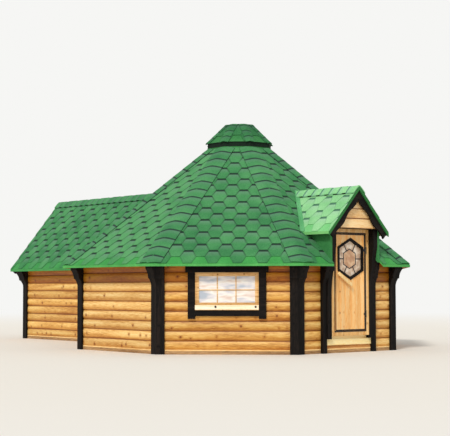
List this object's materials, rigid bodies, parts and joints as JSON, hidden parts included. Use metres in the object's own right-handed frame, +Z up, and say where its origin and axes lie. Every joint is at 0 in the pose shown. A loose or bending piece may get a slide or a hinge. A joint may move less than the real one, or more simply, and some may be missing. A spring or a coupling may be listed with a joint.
{
  "type": "octagonal camping cabin",
  "caption": "Octagonal log camping cabin with a shingled pyramid roof, a hinged door under a small gable, windows beside it and a gabled sleeping extension behind.",
  "frame": {"origin": "middle of the ground plan's bounding box, at ground level", "axes": "+Z up, -Y towards the door, +Y towards the extension, +X to the right as seen from the door side"},
  "size_m": [4.989, 7.562, 3.3509],
  "materials": {
    "pine_logs": "clear honey stain over half-round spruce boards",
    "pale_pine": "planed pale pine, clear stain",
    "door_pine": "planed pine boards, honey stain",
    "dark_timber": "planed boards, near-black brown stain",
    "treated_base": "pressure-treated sawn timber, brown",
    "floor_boards": "planed spruce boards",
    "green_roof": "roof boards under green mineral-faced bitumen shingles",
    "window_glass": "clear float glass",
    "dark_metal": "black powder-coated steel",
    "rubber_strip": "matt black sealing strip"
  },
  "bodies": {
    "cabin": {"back_wall_left": "pine_logs", "back_wall_right": "pine_logs", "base_frame": "treated_base", "corner_posts": "dark_timber", "door_frame": "pale_pine", "door_hinge_plates": "dark_metal", "door_posts": "dark_timber", "door_riser": "treated_base", "door_sill": "pale_pine", "door_soffit": "dark_timber", "door_wall_left": "pine_logs", "door_wall_right": "pine_logs", "door_weather_strip": "rubber_strip", "dormer_bargeboards": "dark_timber", "dormer_cheeks": "green_roof", "dormer_pediment": "door_pine", "dormer_roof_left": "green_roof", "dormer_roof_right": "green_roof", "dormer_verges": "green_roof", "extension_bargeboards": "dark_timber", "extension_end_wall": "pine_logs", "extension_floor": "floor_boards", "extension_jambs": "pine_logs", "extension_posts": "dark_timber", "extension_roof_left": "green_roof", "extension_roof_right": "green_roof", "extension_wall_left": "pine_logs", "extension_wall_right": "pine_logs", "gable_posts": "dark_timber", "main_floor": "floor_boards", "roof_cap": "green_roof", "roof_collar": "dark_timber", "roof_panel_back": "green_roof", "roof_panel_back_left": "green_roof", "roof_panel_back_right": "green_roof", "roof_panel_front": "green_roof", "roof_panel_front_left": "green_roof", "roof_panel_front_right": "green_roof", "roof_panel_left": "green_roof", "roof_panel_right": "green_roof", "side_wall_left": "pine_logs", "side_wall_right": "pine_logs", "window_casings": "pale_pine", "window_glass": "window_glass", "window_sashes": "pale_pine", "window_trims": "dark_timber", "window_wall_left": "pine_logs", "window_wall_right": "pine_logs"},
    "door": {"door_leaf": "door_pine", "door_window_frame": "dark_timber", "door_glass": "window_glass", "door_window_lead": "dark_metal", "door_handle": "door_pine", "door_hinge_straps": "dark_metal"}
  },
  "joints": [
    {"name": "door_hinge", "type": "hinge", "parent": "cabin", "child": "door", "pos_m": [0.2915, -3.603, 0.961], "axis": [0, 0, 1], "range_deg": [0, 100]}
  ]
}
